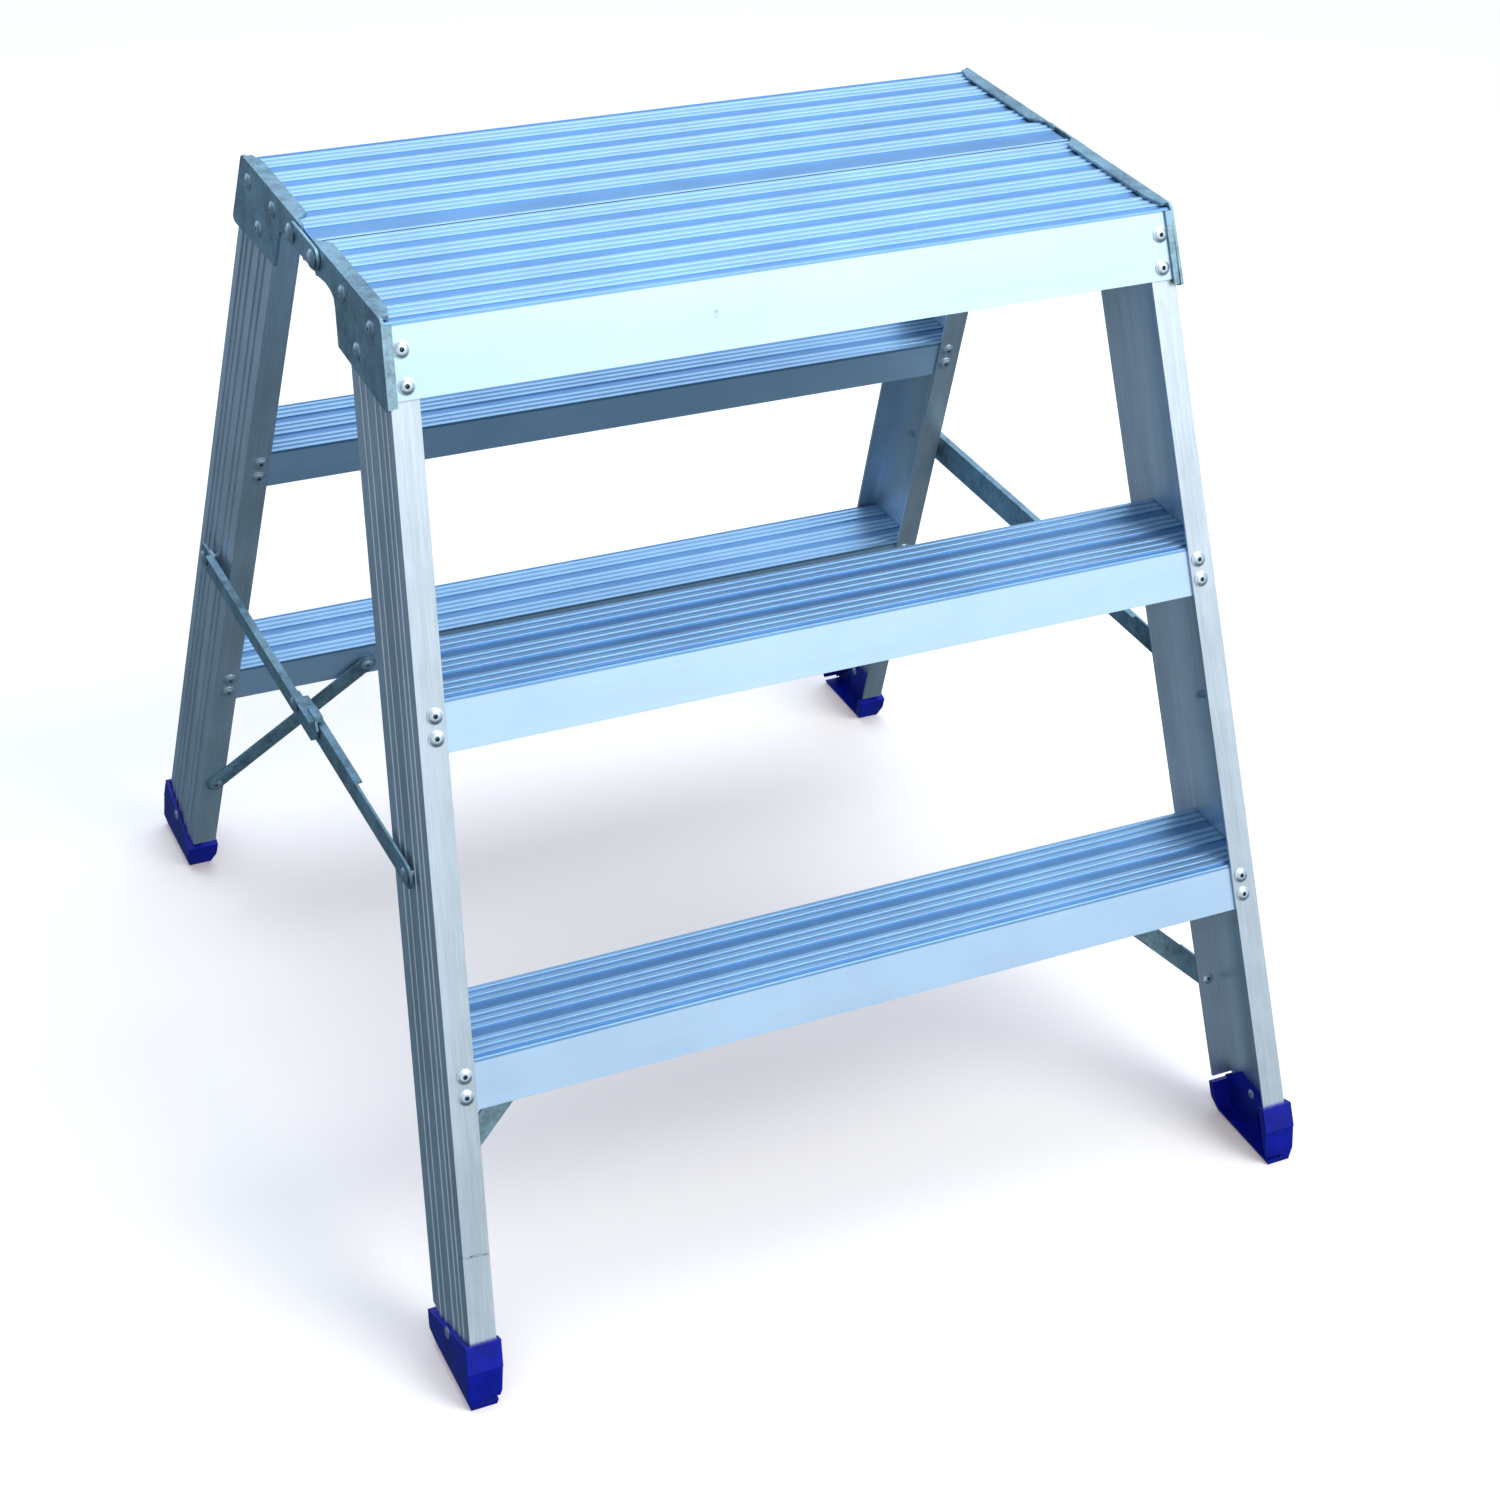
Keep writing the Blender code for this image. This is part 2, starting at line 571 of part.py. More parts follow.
def build_foot(side_name, frame_name, shown, cutters):
    side = SIDES[side_name]
    frame = FRAMES[frame_name]
    name = "foot_" + frame_name + "_" + side_name
    matrix = frame_matrix(side, frame, "qdw")
    skin = CLEARANCE + FOOT_WALL
    rim_slope = TILT / (1 + TILT * TILT)
    heel = WEB_WIDTH + CLEARANCE + FOOT_HEEL_WALL
    rim_heel = FOOT_RIM + rim_slope * (heel + skin)
    step = HEIGHT - FOOT_STEP
    outline = [(-skin, FOOT_RIM), (-skin, step), (-skin + 1 * MM, step + 0.8 * MM)]
    outline += [(FOOT_TOE, HEIGHT), (FOOT_HEEL, HEIGHT), (heel, HEIGHT - FOOT_HEEL_RISE), (heel, rim_heel)]
    outer = -STILE_RIB_HEIGHT - skin
    lip = FLANGE_WIDTH + CLEARANCE
    face = lip + 2.2 * MM
    shoe = solid(name, outline, outer, face, matrix, shown, "blue_plastic")
    floor = HEIGHT - FOOT_FLOOR
    top = FOOT_RIM - 40 * MM
    pocket = box_outline(-CLEARANCE, top, WEB_WIDTH + CLEARANCE, floor)
    pocket = solid(name + "_pocket", pocket, -STILE_RIB_HEIGHT - CLEARANCE, lip, matrix, shown)
    add_boolean(shoe, pocket, "DIFFERENCE", cutters)
    inner = STILE_WALL + CLEARANCE
    well = box_outline(FOOT_SHELF, top, WEB_WIDTH - FOOT_SHELF, HEIGHT - FOOT_SOLE)
    well = solid(name + "_well", well, inner + FOOT_PLUG - 0.5 * MM, lip + 20 * MM, matrix, shown)
    add_boolean(shoe, well, "DIFFERENCE", cutters)
    crown = FOOT_RIM + 12 * MM
    plug = [(inner, crown + 5 * MM), (0.74 * WEB_WIDTH, crown), (WEB_WIDTH - inner, rim_heel - 4 * MM)]
    plug += [(WEB_WIDTH - inner, floor + 2 * MM), (inner, floor + 2 * MM)]
    plug = solid(name + "_plug", plug, inner, inner + FOOT_PLUG, matrix, shown)
    add_boolean(shoe, plug, "UNION", cutters)
    near = FOOT_SHELF + 0.6 * MM
    low = HEIGHT - FOOT_SOLE - 0.6 * MM
    recess = [(near, crown + 13 * MM), (22 * MM, crown + 12 * MM), (33 * MM, crown + 16 * MM)]
    recess += [(37 * MM, crown + 24 * MM), (34 * MM, low), (near, low)]
    recess = solid(name + "_recess", recess, inner + 2 * MM, inner + FOOT_PLUG + 2 * MM, matrix, shown)
    add_boolean(shoe, recess, "DIFFERENCE", cutters)
    across = frame_matrix(side, frame, "wdq")
    for label, edge, way in (("out", outer, 1), ("in", face, -1)):
        away = edge - way * 4 * MM
        rise = FOOT_BEVEL_RISE / FOOT_BEVEL * MM
        bevel = [(away, HEIGHT - FOOT_BEVEL_RISE - rise), (edge - way * MM, HEIGHT - FOOT_BEVEL_RISE - rise)]
        bevel += [(edge + way * (FOOT_BEVEL + MM), HEIGHT + rise), (away, HEIGHT + rise)]
        bevel = solid(name + "_bevel_" + label, bevel, -skin - 2 * MM, heel + 2 * MM, across, shown)
        add_boolean(shoe, bevel, "DIFFERENCE", cutters)
    return shoe


def build_stile(side_name, frame_name, shown, cutters):
    side = SIDES[side_name]
    frame = FRAMES[frame_name]
    name = "stile_" + frame_name + "_" + side_name
    stile = solid(
        name, stile_outline(), STILE_TOP, HEIGHT - STILE_END,
        frame_matrix(side, frame, "wqd"), shown, "aluminium",
    )
    hole = bore(name + "_bore", side, frame * arm_y(), ARM_DEPTH, PIVOT_RADIUS, shown)
    add_boolean(stile, hole, "DIFFERENCE", cutters)
    return stile


def build_frame(frame_name, shown, cutters):
    frame = FRAMES[frame_name]
    half = WEB_HALF_X + STILE_RIB_HEIGHT
    made = [section_along_x("platform_" + frame_name, plank_outline(frame_name == "rear"), half, frame, shown)]
    half = WEB_HALF_X - STILE_WALL - CLEARANCE
    for level, depth in TREAD_LEVELS.items():
        name = "tread_" + level + "_" + frame_name
        made.append(section_along_x(name, tread_outline(depth), half, frame, shown))
    for side_name in SIDES:
        made.append(build_stile(side_name, frame_name, shown, cutters))
        made.append(build_gusset(side_name, frame_name, shown, cutters))
        made.append(build_brace(side_name, frame_name, shown, cutters))
        made.append(build_foot(side_name, frame_name, shown, cutters))
    return made


def hang(name, place, members, collection):
    """Parents pieces to an empty that stands on their joint's axis."""
    empty = bpy.data.objects.new(name, None)
    empty.empty_display_size = 0.03
    empty.location = place
    collection.objects.link(empty)
    for member in members:
        member.parent = empty
        member.matrix_parent_inverse = Matrix.Translation(-Vector(place))


def named(collection, *names):
    return [collection.objects[name] for name in names]


def main():
    clear_scene()
    shown = new_collection("step_ladder")
    cutters = new_collection("cutters", hidden=True)
    build_frame("rear", shown, cutters)
    front = build_frame("front", shown, cutters)
    pin_z = HEIGHT - PIN_DEPTH
    arm_z = HEIGHT - ARM_DEPTH
    for side_name in SIDES:
        build_hinge(side_name, shown, cutters)
        build_arms(side_name, shown, cutters)
        front += named(shown, "hinge_pin_front_" + side_name, "pivot_front_" + side_name)
        rear_arm = named(shown, "spreader_rear_" + side_name, "pivot_mid_" + side_name)
        hang("axis_rear_arm_" + side_name, (0, arm_y(), arm_z), rear_arm, shown)
        front_arm = named(shown, "spreader_front_" + side_name, "pivot_tail_" + side_name)
        hang("axis_front_arm_" + side_name, (0, -arm_y(), arm_z), front_arm, shown)
    hang("axis_front_frame", (0, -PIN_Y, pin_z), front, shown)
    links = named(shown, "hinge_link_left", "hinge_link_right")
    hang("axis_links", (0, PIN_Y, pin_z), links, shown)
    bpy.context.view_layer.update()


if __name__ == "__main__":
    main()
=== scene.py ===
"""Looks of the double-sided folding step ladder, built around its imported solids."""

import json

import bpy
from bpy.props import FloatProperty, FloatVectorProperty, PointerProperty
from mathutils import Matrix, Vector
from mathutils.bvhtree import BVHTree

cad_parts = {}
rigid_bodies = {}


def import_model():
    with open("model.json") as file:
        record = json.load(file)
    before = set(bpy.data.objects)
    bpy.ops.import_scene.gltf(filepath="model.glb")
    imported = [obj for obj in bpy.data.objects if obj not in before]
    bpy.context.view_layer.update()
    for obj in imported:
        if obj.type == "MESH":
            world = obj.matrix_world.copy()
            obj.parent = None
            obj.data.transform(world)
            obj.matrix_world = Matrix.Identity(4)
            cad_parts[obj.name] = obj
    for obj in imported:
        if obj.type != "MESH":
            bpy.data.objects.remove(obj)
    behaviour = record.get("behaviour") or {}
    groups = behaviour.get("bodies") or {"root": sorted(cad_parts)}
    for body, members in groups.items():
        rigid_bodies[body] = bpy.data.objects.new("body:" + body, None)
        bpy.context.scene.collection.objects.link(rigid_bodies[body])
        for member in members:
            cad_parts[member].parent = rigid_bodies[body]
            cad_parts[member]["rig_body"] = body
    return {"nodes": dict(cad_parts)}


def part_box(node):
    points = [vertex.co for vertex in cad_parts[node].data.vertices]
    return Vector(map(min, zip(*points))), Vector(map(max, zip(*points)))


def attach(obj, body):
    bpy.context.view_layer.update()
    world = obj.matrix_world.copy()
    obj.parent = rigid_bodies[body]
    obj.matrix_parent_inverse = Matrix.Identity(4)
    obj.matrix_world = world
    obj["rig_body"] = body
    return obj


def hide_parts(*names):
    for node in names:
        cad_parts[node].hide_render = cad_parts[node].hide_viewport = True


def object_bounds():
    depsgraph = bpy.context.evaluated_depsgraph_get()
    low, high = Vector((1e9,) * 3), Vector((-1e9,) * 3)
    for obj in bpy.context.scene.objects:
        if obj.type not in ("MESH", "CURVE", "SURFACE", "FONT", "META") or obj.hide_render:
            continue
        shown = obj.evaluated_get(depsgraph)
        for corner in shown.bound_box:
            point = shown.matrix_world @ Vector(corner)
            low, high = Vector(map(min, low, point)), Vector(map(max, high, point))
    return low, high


bl_info = {
    "name": "Step Ladder",
    "version": (1, 0, 0),
    "blender": (4, 5, 0),
    "location": "3D View > Sidebar > Ladder",
    "description": "Finishes the folding step ladder and its stage",
    "category": "Object",
}

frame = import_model()
CAD_BOUNDS = [[float(number) for number in corner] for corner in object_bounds()]

MM = 0.001
HEIGHT = CAD_BOUNDS[1][2]
SIDES = {"left": -1, "right": 1}
FRAMES = {"front": -1, "rear": 1}
UP = Vector((0, 0, 1))

# Rivets: distances from the edges of the pieces they hold
SKIRT_RIVET_END = 12.6 * MM
SKIRT_RIVET_DEPTHS = (17.6 * MM, 40 * MM)
TREAD_RIVET_DEPTHS = (9 * MM, 23.5 * MM)
TREAD_RIVET_FROM_WEB = 12.3 * MM
GUSSET_RIVETS = ((79 * MM, 13 * MM), (138.5 * MM, 13.9 * MM), (112.7 * MM, 39.8 * MM))
BRACE_RIVET_END = 8 * MM
FOOT_RIVET_DROP = 16 * MM
FOOT_RIVET_BACK = 2 * MM
RIVET_SINK = 0.05 * MM
RIVET_STEPS = ((0.08, 0.02), (0.12, 0.22), (0.2, 0.3), (0.16, 0.1))

# Marks on the metal: place, half length along the piece, half width
SKIRT_MARK = (Vector((-66 * MM, -166 * MM, 700 * MM)), 2 * MM, 4 * MM)
STILE_MARK = (Vector((-332 * MM, -373 * MM, 113 * MM)), 1.5 * MM, 6 * MM)

# A place clear of the ladder, from which lines are sent to find its surfaces
OUTSIDE = 0.6

# Heads of the rivets
HEAD_CORNERS = 24
HEAD_WALL = 0.36
HEAD_SMOOTH_ANGLE = 0.9
THINNEST_RING = 0.1 * MM
FOOT_HEAD = (0.8, 0.65)
FOOT_TAIL_SCALE = 0.7
BRACE_TAIL_SCALE = 0.8
CHANNEL_REACH = 30 * MM

# Softened copies
MERGE_WITHIN = 0.002 * MM
FLAT_WITHIN = 0.004
EDGE_ANGLE = 0.5
EDGE_STEPS = 2
SMOOTH_ANGLE = 0.6
FLAT_WEIGHT = 100

# Slopes of the stiles, which the drawn lines follow
SPLAY = 0.075
LEAST_LEAN = 0.2

# Finishes
BARE_MARK = (0.06, 0.08, 0.09)
SKIRT_SCUFF = (0.10, 0.13, 0.15)
SCUFFED_PLASTIC = (0.05, 0.09, 0.40)
PLASTIC_GLOSS = 0.25

# Stage: each lamp has a name, place, size, power and tint
SKY_BEHIND = (0.62, 0.78, 1.0)
SKY_IN_FRONT = (0.92, 0.96, 1.0)
DIM_LEFT = (0.07, 0.12, 0.16)
DIM_GROUND = (0.08, 0.13, 0.17)
FLOOR_SIZE = 30
FLOOR_DROP = -0.2 * MM
FLOOR_ROUGHNESS = 0.9
FLOOR_GLOW = (1.0, 0.5, 0.12)
FLOOR_GLOW_STRENGTH = 0.13
LIT_POINT = Vector((0, 0, 0.3))
LAMPS = (
    ("key", (1.6, -2.6, 3.0), 2.4, 80, (1.0, 0.99, 0.97)),
    ("overhead", (0, 0.6, 3.6), 3.0, 42, (0.95, 0.98, 1.0)),
)

# Camera, in millimetres and as the directions it looks along
CAMERA_PLACE = (-803.9, -1769.86, 1466.23)
CAMERA_AXES = (
    (0.89583, -0.44195, 0.046544),
    (0.215858, 0.524293, 0.823724),
    (-0.388448, -0.727871, 0.565077),
)
CAMERA_LENS = 66.754
CAMERA_SHIFT = (-0.06, 0.0718)


class LadderSizes(bpy.types.PropertyGroup):
    """Sizes of the small details."""

    rivet_radius: FloatProperty(
        name="Rivet radius", description="Radius of a rivet's head",
        default=5.9 * MM, unit="LENGTH",
    )
    rivet_height: FloatProperty(
        name="Rivet height", description="Height of a rivet's head", default=2.1 * MM, unit="LENGTH"
    )
    rivet_hole: FloatProperty(
        name="Rivet hole", description="Radius of the hole in a rivet's head",
        default=1.7 * MM, unit="LENGTH",
    )
    section_edge: FloatProperty(
        name="Section edge", description="Rounding of extruded edges", default=0.22 * MM, unit="LENGTH"
    )
    plate_edge: FloatProperty(
        name="Plate edge", description="Rounding of pressed plates", default=0.45 * MM, unit="LENGTH"
    )
    foot_edge: FloatProperty(
        name="Foot edge", description="Rounding of the moulded feet", default=0.9 * MM, unit="LENGTH"
    )


def colour(name, description, default):
    return FloatVectorProperty(
        name=name, description=description, default=default, subtype="COLOR", size=3, min=0, max=1
    )


class LadderColours(bpy.types.PropertyGroup):
    """Colours of the finishes. The colours of ribs, valleys, skirts, stiles and rivets are tinted blue:
    a painted reflection of the sky over the aluminium's own grey.
    """

    # Rib colour: paler partly from wear, partly as a painted highlight where the rounded tops catch
    # light.
    rib: colour("Rib", "Worn tops of the ribs", (0.48, 0.72, 0.93))
    # Valley colour: darker partly as less worn metal, partly as painted shade in the recesses.
    valley: colour("Valley", "Flat metal between the ribs", (0.21, 0.40, 0.66))
    # Skirts: paler as painted light, standing for the upright faces catching the light.
    lit_skirt: colour("Skirt", "Upright faces of planks and treads", (0.56, 0.76, 0.98))
    # Stile colour: its blue tint is a painted reflection of the sky.
    stile: colour("Stile", "Metal of the stiles", (0.70, 0.80, 0.88))
    # Plated steel colour, darkened partly as painted shade on the ladder's sides.
    zinc_with_shade: colour("Zinc", "Plated steel", (0.26, 0.40, 0.47))
    # Rivet colour: its blue tint is a painted reflection of the sky.
    rivet: colour("Rivet", "Rivet heads", (0.70, 0.83, 0.92))
    mandrel: colour("Mandrel", "Steel in a rivet's hole", (0.05, 0.08, 0.10))
    plastic: colour("Plastic", "Moulded feet", (0.002, 0.008, 0.30))
    floor: colour("Floor", "Floor under the ladder", (1.0, 0.985, 0.965))


class Wire:
    """A socket that takes part in arithmetic."""

    def __init__(self, finish, socket):
        self.finish = finish
        self.socket = socket

    def combine(self, operation, first, second=0.0):
        made = self.finish.node("ShaderNodeMath", {"operation": operation}, {0: first, 1: second})
        return self.finish.wire(made.outputs[0])

    def __add__(self, other):
        return self.combine("ADD", self, other)

    __radd__ = __add__

    def __sub__(self, other):
        return self.combine("SUBTRACT", self, other)

    def __rsub__(self, other):
        return self.combine("SUBTRACT", other, self)

    def __mul__(self, other):
        return self.combine("MULTIPLY", self, other)

    __rmul__ = __mul__

    def __truediv__(self, other):
        return self.combine("DIVIDE", self, other)

    def power(self, other):
        return self.combine("POWER", self, other)

    def smooth(self, low, high):
        """Rises from 0 at low to 1 at high."""
        made = self.finish.node(
            "ShaderNodeMapRange", {"interpolation_type": "SMOOTHSTEP"}, {0: self, 1: low, 2: high}
        )
        return self.finish.wire(made.outputs[0])


class Finish:
    """A material and the means to build its nodes."""

    def __init__(self, name, tree=None):
        if tree is None:
            self.material = bpy.data.materials.new(name)
            self.material.use_nodes = True
            tree = self.material.node_tree
        self.tree = tree

    def wire(self, socket):
        return Wire(self, socket)

    def node(self, kind, settings=None, sockets=None):
        made = self.tree.nodes.new(kind)
        for name, value in (settings or {}).items():
            setattr(made, name, value)
        for key, value in (sockets or {}).items():
            self.feed(made.inputs[key], value)
        return made

    def feed(self, socket, value):
        if isinstance(value, Wire):
            value = value.socket
        if isinstance(value, bpy.types.NodeSocket):
            self.tree.links.new(value, socket)
        elif socket.type == "RGBA":
            socket.default_value = (*value, 1)
        else:
            socket.default_value = value

    def place(self):
        return self.node("ShaderNodeTexCoord").outputs["Object"]

    def along(self, direction):
        """Distance along a direction, as a number."""
        made = self.node(
            "ShaderNodeVectorMath", {"operation": "DOT_PRODUCT"}, {0: self.place(), 1: Vector(direction)}
        )
        return self.wire(made.outputs["Value"])

    def vector(self, a, b, c):
        return self.node("ShaderNodeCombineXYZ", None, {0: a, 1: b, 2: c}).outputs[0]

    def noise(self, where, scale, detail=3.0, rough=0.55):
        made = self.node(
            "ShaderNodeTexNoise", None,
            {"Vector": where, "Scale": scale, "Detail": detail, "Roughness": rough},
        )
        return self.wire(made.outputs[0])

    def mix(self, factor, first, second):
        made = self.node("ShaderNodeMix", {"data_type": "RGBA"}, {0: factor, 6: first, 7: second})
        return made.outputs[2]

    def bump(self, height, strength, distance):
        made = self.node(
            "ShaderNodeBump", None, {"Height": height, "Strength": strength, "Distance": distance}
        )
        return made.outputs[0]

    def shader(self, **sockets):
        shader = self.tree.nodes["Principled BSDF"]
        for name, value in sockets.items():
            self.feed(shader.inputs[name.replace("_", " ")], value)
        return self.material


def tone(shade, factor):
    return tuple(min(1.0, channel * factor) for channel in shade)


def drawn_lines(finish, along, across, outward):
    """Fine lines and broad bands left by the die, running along the piece."""
    run = finish.along(along)
    side = finish.along(across)
    depth = finish.along(outward)
    fine = finish.noise(finish.vector(run * 3, side * 900, depth * 900), 1.0, 4.0, 0.7)
    broad = finish.noise(finish.vector(run * 2.5, side * 60, depth * 60), 1.0, 2.0)
    return fine, broad


def mark(finish, spot, along, across):
    """A dark rubbed mark, 1 at its middle."""
    place, half_length, half_width = spot
    run = (finish.along(along) - Vector(along).dot(place)) / half_length
    side = (finish.along(across) - Vector(across).dot(place)) / half_width
    grain = finish.noise(finish.place(), 900.0, 3.0)
    near = 1 - (run * run + side * side).power(0.5)
    return (near.smooth(0.0, 0.6) * grain.smooth(0.42, 0.6)) * 0.75


def extruded_metal(name, along, across, outward, low, high, spot=None):
    """Mill-finished extrusion: drawn lines, cloudy oxide and sparse scratches."""
    finish = Finish(name)
    fine, broad = drawn_lines(finish, along, across, outward)
    cloud = finish.noise(finish.place(), 14.0, 5.0, 0.62)
    speck = finish.noise(finish.place(), 1400.0, 2.0, 0.5)
    shade = fine * 0.45 + broad * 0.35 + cloud * 0.3
    level = shade.smooth(0.36, 0.74)
    base = finish.mix(level, low, high)
    scratch = fine.smooth(0.66, 0.74) * cloud.smooth(0.5, 0.62)
    base = finish.mix(scratch * 0.35, base, tone(high, 1.12))
    if spot:
        base = finish.mix(mark(finish, spot, along, across), base, BARE_MARK)
    rough = 0.33 + fine * 0.1 + cloud * 0.1 - scratch * 0.08
    height = fine * 0.7 + speck * 0.3
    return finish.shader(
        Base_Color=base, Metallic=0.88, Roughness=rough, Normal=finish.bump(height, 0.22, 0.15 * MM)
    )


def plated_steel(name, zinc_with_shade, dark=0.45):
    """Zinc plate: pale and dark crystals over a cloudy ground, with rubbed spots."""
    finish = Finish(name)
    warp = finish.noise(finish.place(), 60.0, 3.0)
    crystal = finish.node(
        "ShaderNodeTexVoronoi", {"feature": "F1"},
        {"Vector": finish.place(), "Scale": 260.0, "Randomness": 1.0},
    )
    grain = finish.noise(finish.place(), 420.0, 4.0, 0.7)
    cloud = finish.noise(finish.place(), 28.0, 5.0, 0.65)
    cell = finish.wire(crystal.outputs["Distance"])
    shade = (warp * 0.3 + grain * 0.3 + cloud * 0.5 + cell * 0.1).smooth(0.38, 0.74)
    base = finish.mix(shade, tone(zinc_with_shade, dark), tone(zinc_with_shade, 1.25))
    rub = cloud.smooth(0.6, 0.7) * grain.smooth(0.5, 0.6)
    base = finish.mix(rub * 0.4, base, tone(zinc_with_shade, 1.7))
    rough = 0.36 + shade * 0.16 + grain * 0.08
    return finish.shader(
        Base_Color=base, Metallic=0.9, Roughness=rough,
        Normal=finish.bump(grain * 0.6 + cell * 0.4, 0.2, 0.2 * MM),
    )


def head_metal(name, bright):
    """Satin rivet heads with fine dents."""
    finish = Finish(name)
    grain = finish.noise(finish.place(), 700.0, 3.0)
    cloud = finish.noise(finish.place(), 90.0, 3.0)
    shade = (grain * 0.5 + cloud * 0.5).smooth(0.35, 0.7)
    base = finish.mix(shade, tone(bright, 0.72), bright)
    return finish.shader(
        Base_Color=base, Metallic=0.92, Roughness=0.26 + cloud * 0.14,
        Normal=finish.bump(grain, 0.15, 0.1 * MM),
    )


def moulded_plastic(name, blue):
    """Fine-textured plastic with pale scuffs on what stands proud."""
    finish = Finish(name)
    grain = finish.noise(finish.place(), 1500.0, 2.0)
    cloud = finish.noise(finish.place(), 35.0, 4.0)
    streak = finish.vector(
        finish.along((1, 0, 0)) * 400, finish.along((0, 1, 0)) * 80, finish.along(UP) * 400
    )
    scuff = finish.noise(streak, 1.0, 3.0)
    low = 1 - finish.along(UP).smooth(1 * MM, 9 * MM)
    base = finish.mix(cloud.smooth(0.35, 0.7), tone(blue, 0.75), tone(blue, 1.35))
    worn = scuff.smooth(0.6, 0.72) * (0.12 + low * 0.35)
    base = finish.mix(worn * 0.6, base, SCUFFED_PLASTIC)
    return finish.shader(
        Base_Color=base, Metallic=0.0, Roughness=0.36 + cloud * 0.16 + worn * 0.2,
        Normal=finish.bump(grain * 0.5 + cloud * 0.5, 0.12, 0.2 * MM),
        Specular_IOR_Level=PLASTIC_GLOSS,
    )


def select_only(obj):
    bpy.ops.object.select_all(action="DESELECT")
    obj.select_set(True)
    bpy.context.view_layer.objects.active = obj


def rounded_copy(name, width, material):
    """A copy of a solid with softened edges, which stands for it."""
    source = frame["nodes"][name]
    select_only(source)
    bpy.ops.object.duplicate()
    piece = bpy.context.view_layer.objects.active
    for key in list(piece.keys()):
        del piece[key]
    piece.parent = None
    piece.name = name + "_finished"
    bpy.ops.object.mode_set(mode="EDIT")
    bpy.ops.mesh.select_all(action="SELECT")
    bpy.ops.mesh.remove_doubles(threshold=MERGE_WITHIN)
    bpy.ops.mesh.dissolve_limited(angle_limit=FLAT_WITHIN)
    bpy.ops.mesh.normals_make_consistent(inside=False)
    bpy.ops.object.mode_set(mode="OBJECT")
    bevel = piece.modifiers.new("edges", "BEVEL")
    bevel.width = width
    bevel.segments = EDGE_STEPS
    bevel.limit_method = "ANGLE"
    bevel.angle_limit = EDGE_ANGLE
    bpy.ops.object.modifier_apply(modifier=bevel.name)
    bpy.ops.object.shade_smooth_by_angle(angle=SMOOTH_ANGLE)
    flats = piece.modifiers.new("flats", "WEIGHTED_NORMAL")
    flats.keep_sharp = True
    flats.weight = FLAT_WEIGHT
    bpy.ops.object.modifier_apply(modifier=flats.name)
    piece.data.materials.clear()
    piece.data.materials.append(material)
    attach(piece, source["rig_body"])
    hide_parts(name)
    return piece


def coat(name, material):
    """Gives a solid that stays as it is its material."""
    source = frame["nodes"][name]
    source.data.materials.clear()
    source.data.materials.append(material)


def stile_axes(side_name, frame_name):
    """The directions along a stile, across its web and out of its web."""
    outer = 0 if FRAMES[frame_name] < 0 else 1
    low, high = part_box("stile_" + frame_name + "_" + side_name)
    tall = high.z - low.z
    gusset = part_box("gusset_" + frame_name + "_" + side_name)
    lean = abs(abs((low, high)[outer].y) - abs(gusset[outer].y))
    lean = max(lean, LEAST_LEAN * tall)
    along = Vector((-SIDES[side_name] * SPLAY, -FRAMES[frame_name] * lean / tall, 1)).normalized()
    outward = (Vector((SIDES[side_name], 0, 0)) - along * along.x * SIDES[side_name]).normalized()
    return along, along.cross(outward), outward


def rivet_head(sizes, colours):
    """One domed head with a hole, standing on the origin and facing up."""
    radius = sizes.rivet_radius
    bpy.ops.object.select_all(action="DESELECT")
    bpy.ops.mesh.primitive_circle_add(
        vertices=HEAD_CORNERS, radius=radius, fill_type="NGON", location=(0, 0, 0)
    )
    head = bpy.context.view_layer.objects.active
    head.name = "rivet_head"
    head.data.materials.append(head_metal("rivet_metal", colours.rivet))
    head.data.materials.append(head_metal("rivet_core", colours.mandrel))
    bpy.ops.object.mode_set(mode="EDIT")
    bpy.ops.mesh.select_all(action="SELECT")
    wall = (0, 0, sizes.rivet_height * HEAD_WALL)
    bpy.ops.mesh.extrude_region_move(TRANSFORM_OT_translate={"value": wall})
    for inset, rise in RIVET_STEPS:
        bpy.ops.mesh.inset(thickness=radius * inset)
        bpy.ops.transform.translate(value=(0, 0, sizes.rivet_height * rise))
    rest = radius * (1 - sum(inset for inset, _ in RIVET_STEPS))
    bpy.ops.mesh.inset(thickness=max(rest - sizes.rivet_hole, THINNEST_RING))
    hole = (0, 0, -sizes.rivet_height * 0.7)
    bpy.ops.mesh.extrude_region_move(TRANSFORM_OT_translate={"value": hole})
    head.active_material_index = 1
    bpy.ops.object.material_slot_assign()
    bpy.ops.mesh.inset(thickness=sizes.rivet_hole * 0.4)
    bpy.ops.transform.translate(value=(0, 0, sizes.rivet_height * 0.3))
    bpy.ops.mesh.select_all(action="SELECT")
    bpy.ops.mesh.normals_make_consistent(inside=False)
    bpy.ops.object.mode_set(mode="OBJECT")
    bpy.ops.object.shade_smooth_by_angle(angle=HEAD_SMOOTH_ANGLE)
    return head


SURFACES = {}


def surface(name):
    """A solid's faces, ready to be met by lines."""
    if name not in SURFACES:
        solid = frame["nodes"][name]
        points = [solid.matrix_world @ vertex.co for vertex in solid.data.vertices]
        faces = [tuple(face.vertices) for face in solid.data.polygons]
        SURFACES[name] = BVHTree.FromPolygons(points, faces)
    return SURFACES[name]


def hit(name, start, way):
    """The point and normal where a line meets a solid."""
    place, normal, _, _ = surface(name).ray_cast(Vector(start), Vector(way))
    if place is None:
        raise RuntimeError("no surface of " + name + " for a rivet from " + str(tuple(start)))
    return place, normal.normalized()


